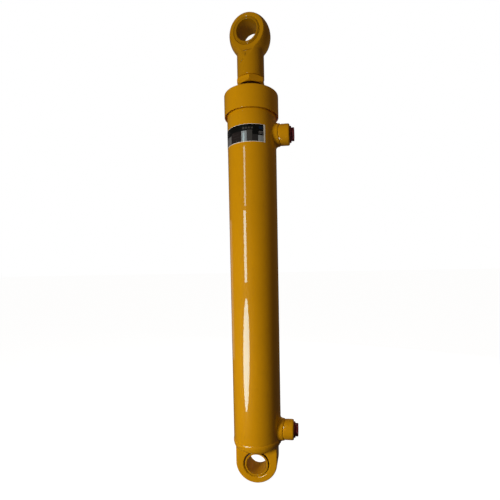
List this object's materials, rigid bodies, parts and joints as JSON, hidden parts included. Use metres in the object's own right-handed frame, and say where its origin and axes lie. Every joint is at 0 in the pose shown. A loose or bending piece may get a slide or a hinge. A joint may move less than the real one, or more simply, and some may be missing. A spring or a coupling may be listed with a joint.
{
  "type": "hydraulic cylinder",
  "caption": "Double-acting hydraulic cylinder: welded barrel with side oil ports and screwed head cap, chromed rod that slides out and turns, pin eye at either end.",
  "frame": {"origin": "centre of the base eye's pin bore", "axes": "+Z along the cylinder towards the rod eye, Y along the base eye's pin, +X towards the oil ports; rod fully retracted"},
  "size_m": [0.1353, 0.105, 0.9118],
  "materials": {
    "yellow_paint": "glossy machine enamel over steel",
    "bush_paint": "over-sprayed steel bush",
    "hard_chrome": "ground and chromed",
    "turned_steel": "turned, oiled",
    "grey_iron": "machined, oiled",
    "guide_bronze": "machined",
    "black_rubber": "smooth",
    "blue_polyurethane": "smooth",
    "filled_ptfe": "smooth",
    "phenolic": "woven resin strip",
    "red_plastic": "moulded, dark red",
    "printed_film": "printed adhesive film"
  },
  "bodies": {
    "barrel": {"barrel_tube": "yellow_paint", "base_end": "yellow_paint", "base_weld": "yellow_paint", "base_eye_bush": "bush_paint", "data_label": "printed_film", "lower_port_boss": "yellow_paint", "lower_port_weld": "yellow_paint", "lower_port_plug": "red_plastic", "upper_port_boss": "yellow_paint", "upper_port_weld": "yellow_paint", "upper_port_plug": "red_plastic", "head_cap": "yellow_paint", "cap_lock_screw": "yellow_paint", "guide_sleeve": "grey_iron", "sleeve_o_ring": "black_rubber", "sleeve_backup_ring": "filled_ptfe", "rod_guide_bush": "guide_bronze", "rod_seal": "blue_polyurethane", "wiper_seal": "black_rubber"},
    "piston_rings": {"piston_seal": "filled_ptfe", "piston_seal_energiser": "black_rubber", "lower_wear_ring": "phenolic", "upper_wear_ring": "phenolic"},
    "rod": {"piston_rod": "hard_chrome", "piston": "grey_iron", "piston_bore_o_ring": "black_rubber", "piston_nut": "turned_steel", "jam_nut": "yellow_paint", "rod_eye": "yellow_paint", "rod_eye_bush": "bush_paint"}
  },
  "joints": [
    {"name": "rod_slide", "type": "slide", "parent": "barrel", "child": "piston_rings", "axis": [0, 0, 1], "range_m": [0, 0.5]},
    {"name": "rod_turn", "type": "hinge", "parent": "piston_rings", "child": "rod", "pos_m": [0, 0, 0.099], "axis": [0, 0, 1], "continuous": true}
  ]
}
